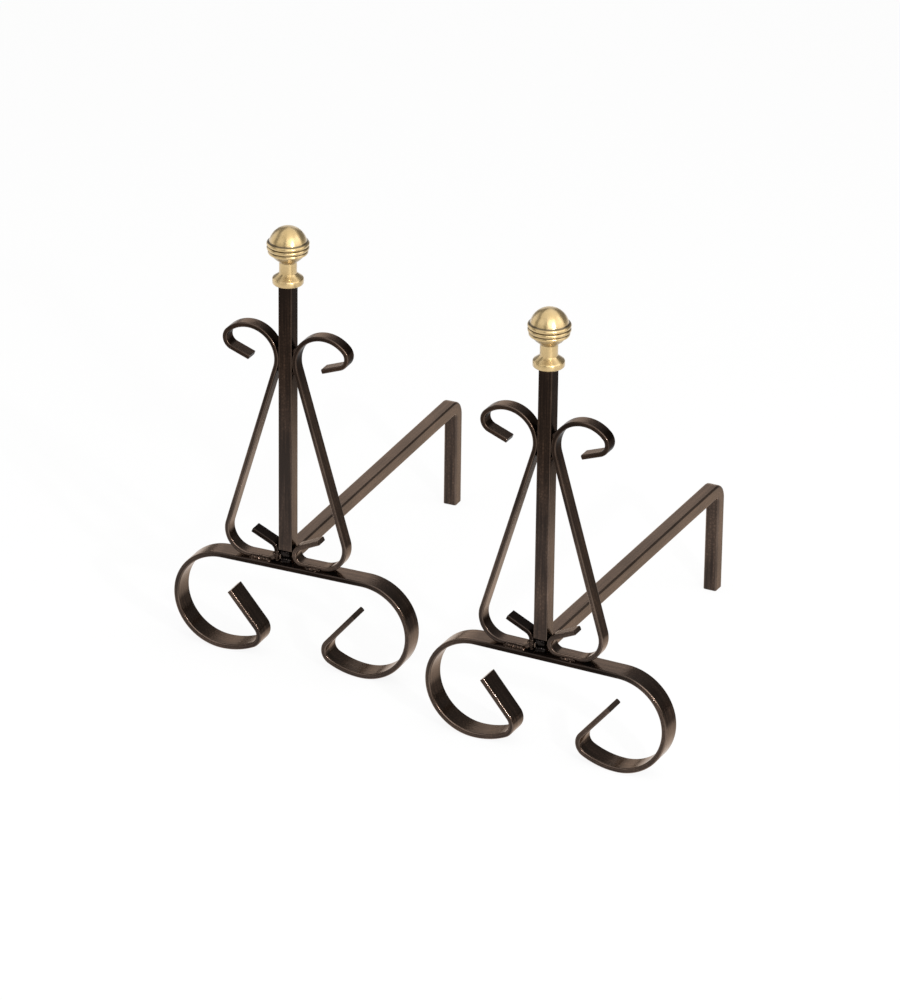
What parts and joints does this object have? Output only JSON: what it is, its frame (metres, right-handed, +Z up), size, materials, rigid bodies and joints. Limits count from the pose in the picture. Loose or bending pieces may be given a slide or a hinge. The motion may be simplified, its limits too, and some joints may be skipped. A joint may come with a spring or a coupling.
{
  "type": "pair of andirons",
  "caption": "Andirons with scrolled flat-bar bases, square posts, hooked side scrolls, a long billet bar bent to a rear leg, and turned brass ball finials; they hold logs off the hearth.",
  "frame": {"origin": "on the hearth, at the middle of the pair's bounding box", "axes": "+X along the hearth from the left andiron to the right one, +Y from the front into the fire, +Z up"},
  "size_m": [0.4713, 0.4008, 0.3863],
  "materials": {
    "hammered_bronze": "dark bronze hammered lacquer on steel bar",
    "lacquered_weld": "the same lacquer over weld beads",
    "turned_brass": "satin, turned",
    "stud_steel": "plain threaded rod, hidden"
  },
  "bodies": {
    "root": {"right_base_scroll": "hammered_bronze", "right_billet_bar": "hammered_bronze", "right_post": "hammered_bronze", "right_outer_scroll": "hammered_bronze", "right_inner_scroll": "hammered_bronze", "right_finial": "turned_brass", "right_finial_stud": "stud_steel", "right_foot_welds": "lacquered_weld", "right_bar_welds": "lacquered_weld", "right_scroll_welds": "lacquered_weld", "left_base_scroll": "hammered_bronze", "left_billet_bar": "hammered_bronze", "left_post": "hammered_bronze", "left_outer_scroll": "hammered_bronze", "left_inner_scroll": "hammered_bronze", "left_finial": "turned_brass", "left_finial_stud": "stud_steel", "left_foot_welds": "lacquered_weld", "left_bar_welds": "lacquered_weld", "left_scroll_welds": "lacquered_weld"}
  },
  "joints": []
}
